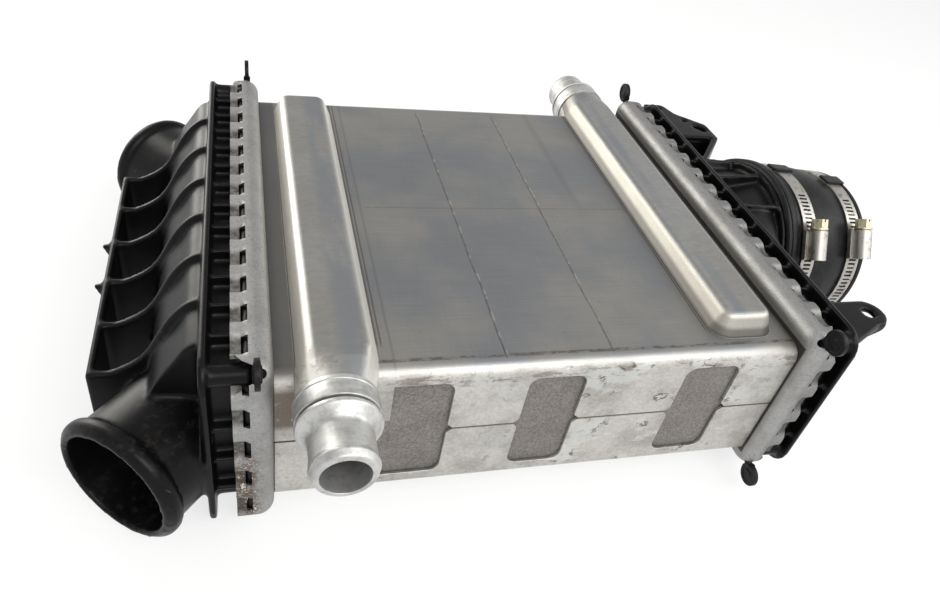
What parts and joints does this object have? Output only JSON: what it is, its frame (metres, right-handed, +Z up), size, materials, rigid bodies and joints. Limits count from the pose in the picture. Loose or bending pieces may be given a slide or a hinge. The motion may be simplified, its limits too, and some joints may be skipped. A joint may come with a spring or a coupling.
{
  "type": "liquid-cooled intercooler",
  "caption": "Charge-air cooler with a coolant-jacketed aluminium core, crimped plastic end tanks, twin round inlets, coolant spigots and a clamped rubber outlet hose",
  "frame": {"origin": "the centre of the jacket's flat underside", "axes": "+X runs from the inlet tank to the outlet tank, +Y away from the front coolant spigot, +Z up through the coolant channels"},
  "size_m": [0.3847, 0.2746, 0.1014],
  "materials": {
    "jacket_sheet": "mill-finish aluminium sheet, brushed and lightly stained",
    "side_sheet": "dull grey aluminium sheet with a dry grainy skin",
    "header_sheet": "pressed aluminium, matt and grainy with dust",
    "core_sheet": "thin brazed aluminium sheet",
    "fitting_alloy": "turned aluminium, satin",
    "tank_plastic": "black glass-filled nylon, low sheen",
    "gasket_rubber": "black moulded rubber",
    "hose_rubber": "black hose rubber, slightly polished by handling",
    "clamp_steel": "stainless band steel, stained",
    "screw_steel": "plated steel with a yellow cast"
  },
  "bodies": {
    "root": {"upper_jacket_shell": "jacket_sheet", "lower_jacket_shell": "jacket_sheet", "front_side_plate": "side_sheet", "rear_side_plate": "side_sheet", "inlet_header_plate": "header_sheet", "outlet_header_plate": "header_sheet", "inlet_header_rim": "header_sheet", "outlet_header_rim": "header_sheet", "inlet_gasket": "gasket_rubber", "outlet_gasket": "gasket_rubber", "inlet_tank": "tank_plastic", "outlet_tank": "tank_plastic", "inlet_ribs": "tank_plastic", "front_inlet_neck": "tank_plastic", "rear_inlet_neck": "tank_plastic", "outlet_neck": "tank_plastic", "outlet_body": "tank_plastic", "outlet_bracket": "tank_plastic", "outlet_ear": "tank_plastic", "front_coolant_socket": "fitting_alloy", "rear_coolant_socket": "fitting_alloy", "front_coolant_spigot": "fitting_alloy", "rear_coolant_spigot": "fitting_alloy", "coupling_hose": "hose_rubber", "near_clamp_band": "clamp_steel", "far_clamp_band": "clamp_steel", "near_clamp_housing": "clamp_steel", "far_clamp_housing": "clamp_steel", "near_clamp_screw": "screw_steel", "far_clamp_screw": "screw_steel", "near_clamp_keeper": "gasket_rubber", "far_clamp_keeper": "gasket_rubber", "air_tube_01": "core_sheet", "air_tube_02": "core_sheet", "air_tube_03": "core_sheet", "air_tube_04": "core_sheet", "air_tube_05": "core_sheet", "air_tube_06": "core_sheet", "air_tube_07": "core_sheet", "air_tube_08": "core_sheet", "air_tube_09": "core_sheet", "air_tube_10": "core_sheet", "air_tube_11": "core_sheet", "air_tube_12": "core_sheet", "air_tube_13": "core_sheet", "air_tube_14": "core_sheet", "air_fin_01": "core_sheet", "air_fin_02": "core_sheet", "air_fin_03": "core_sheet", "air_fin_04": "core_sheet", "air_fin_05": "core_sheet", "air_fin_06": "core_sheet", "air_fin_07": "core_sheet", "air_fin_08": "core_sheet", "air_fin_09": "core_sheet", "air_fin_10": "core_sheet", "air_fin_11": "core_sheet", "air_fin_12": "core_sheet", "air_fin_13": "core_sheet", "air_fin_14": "core_sheet"}
  },
  "joints": []
}
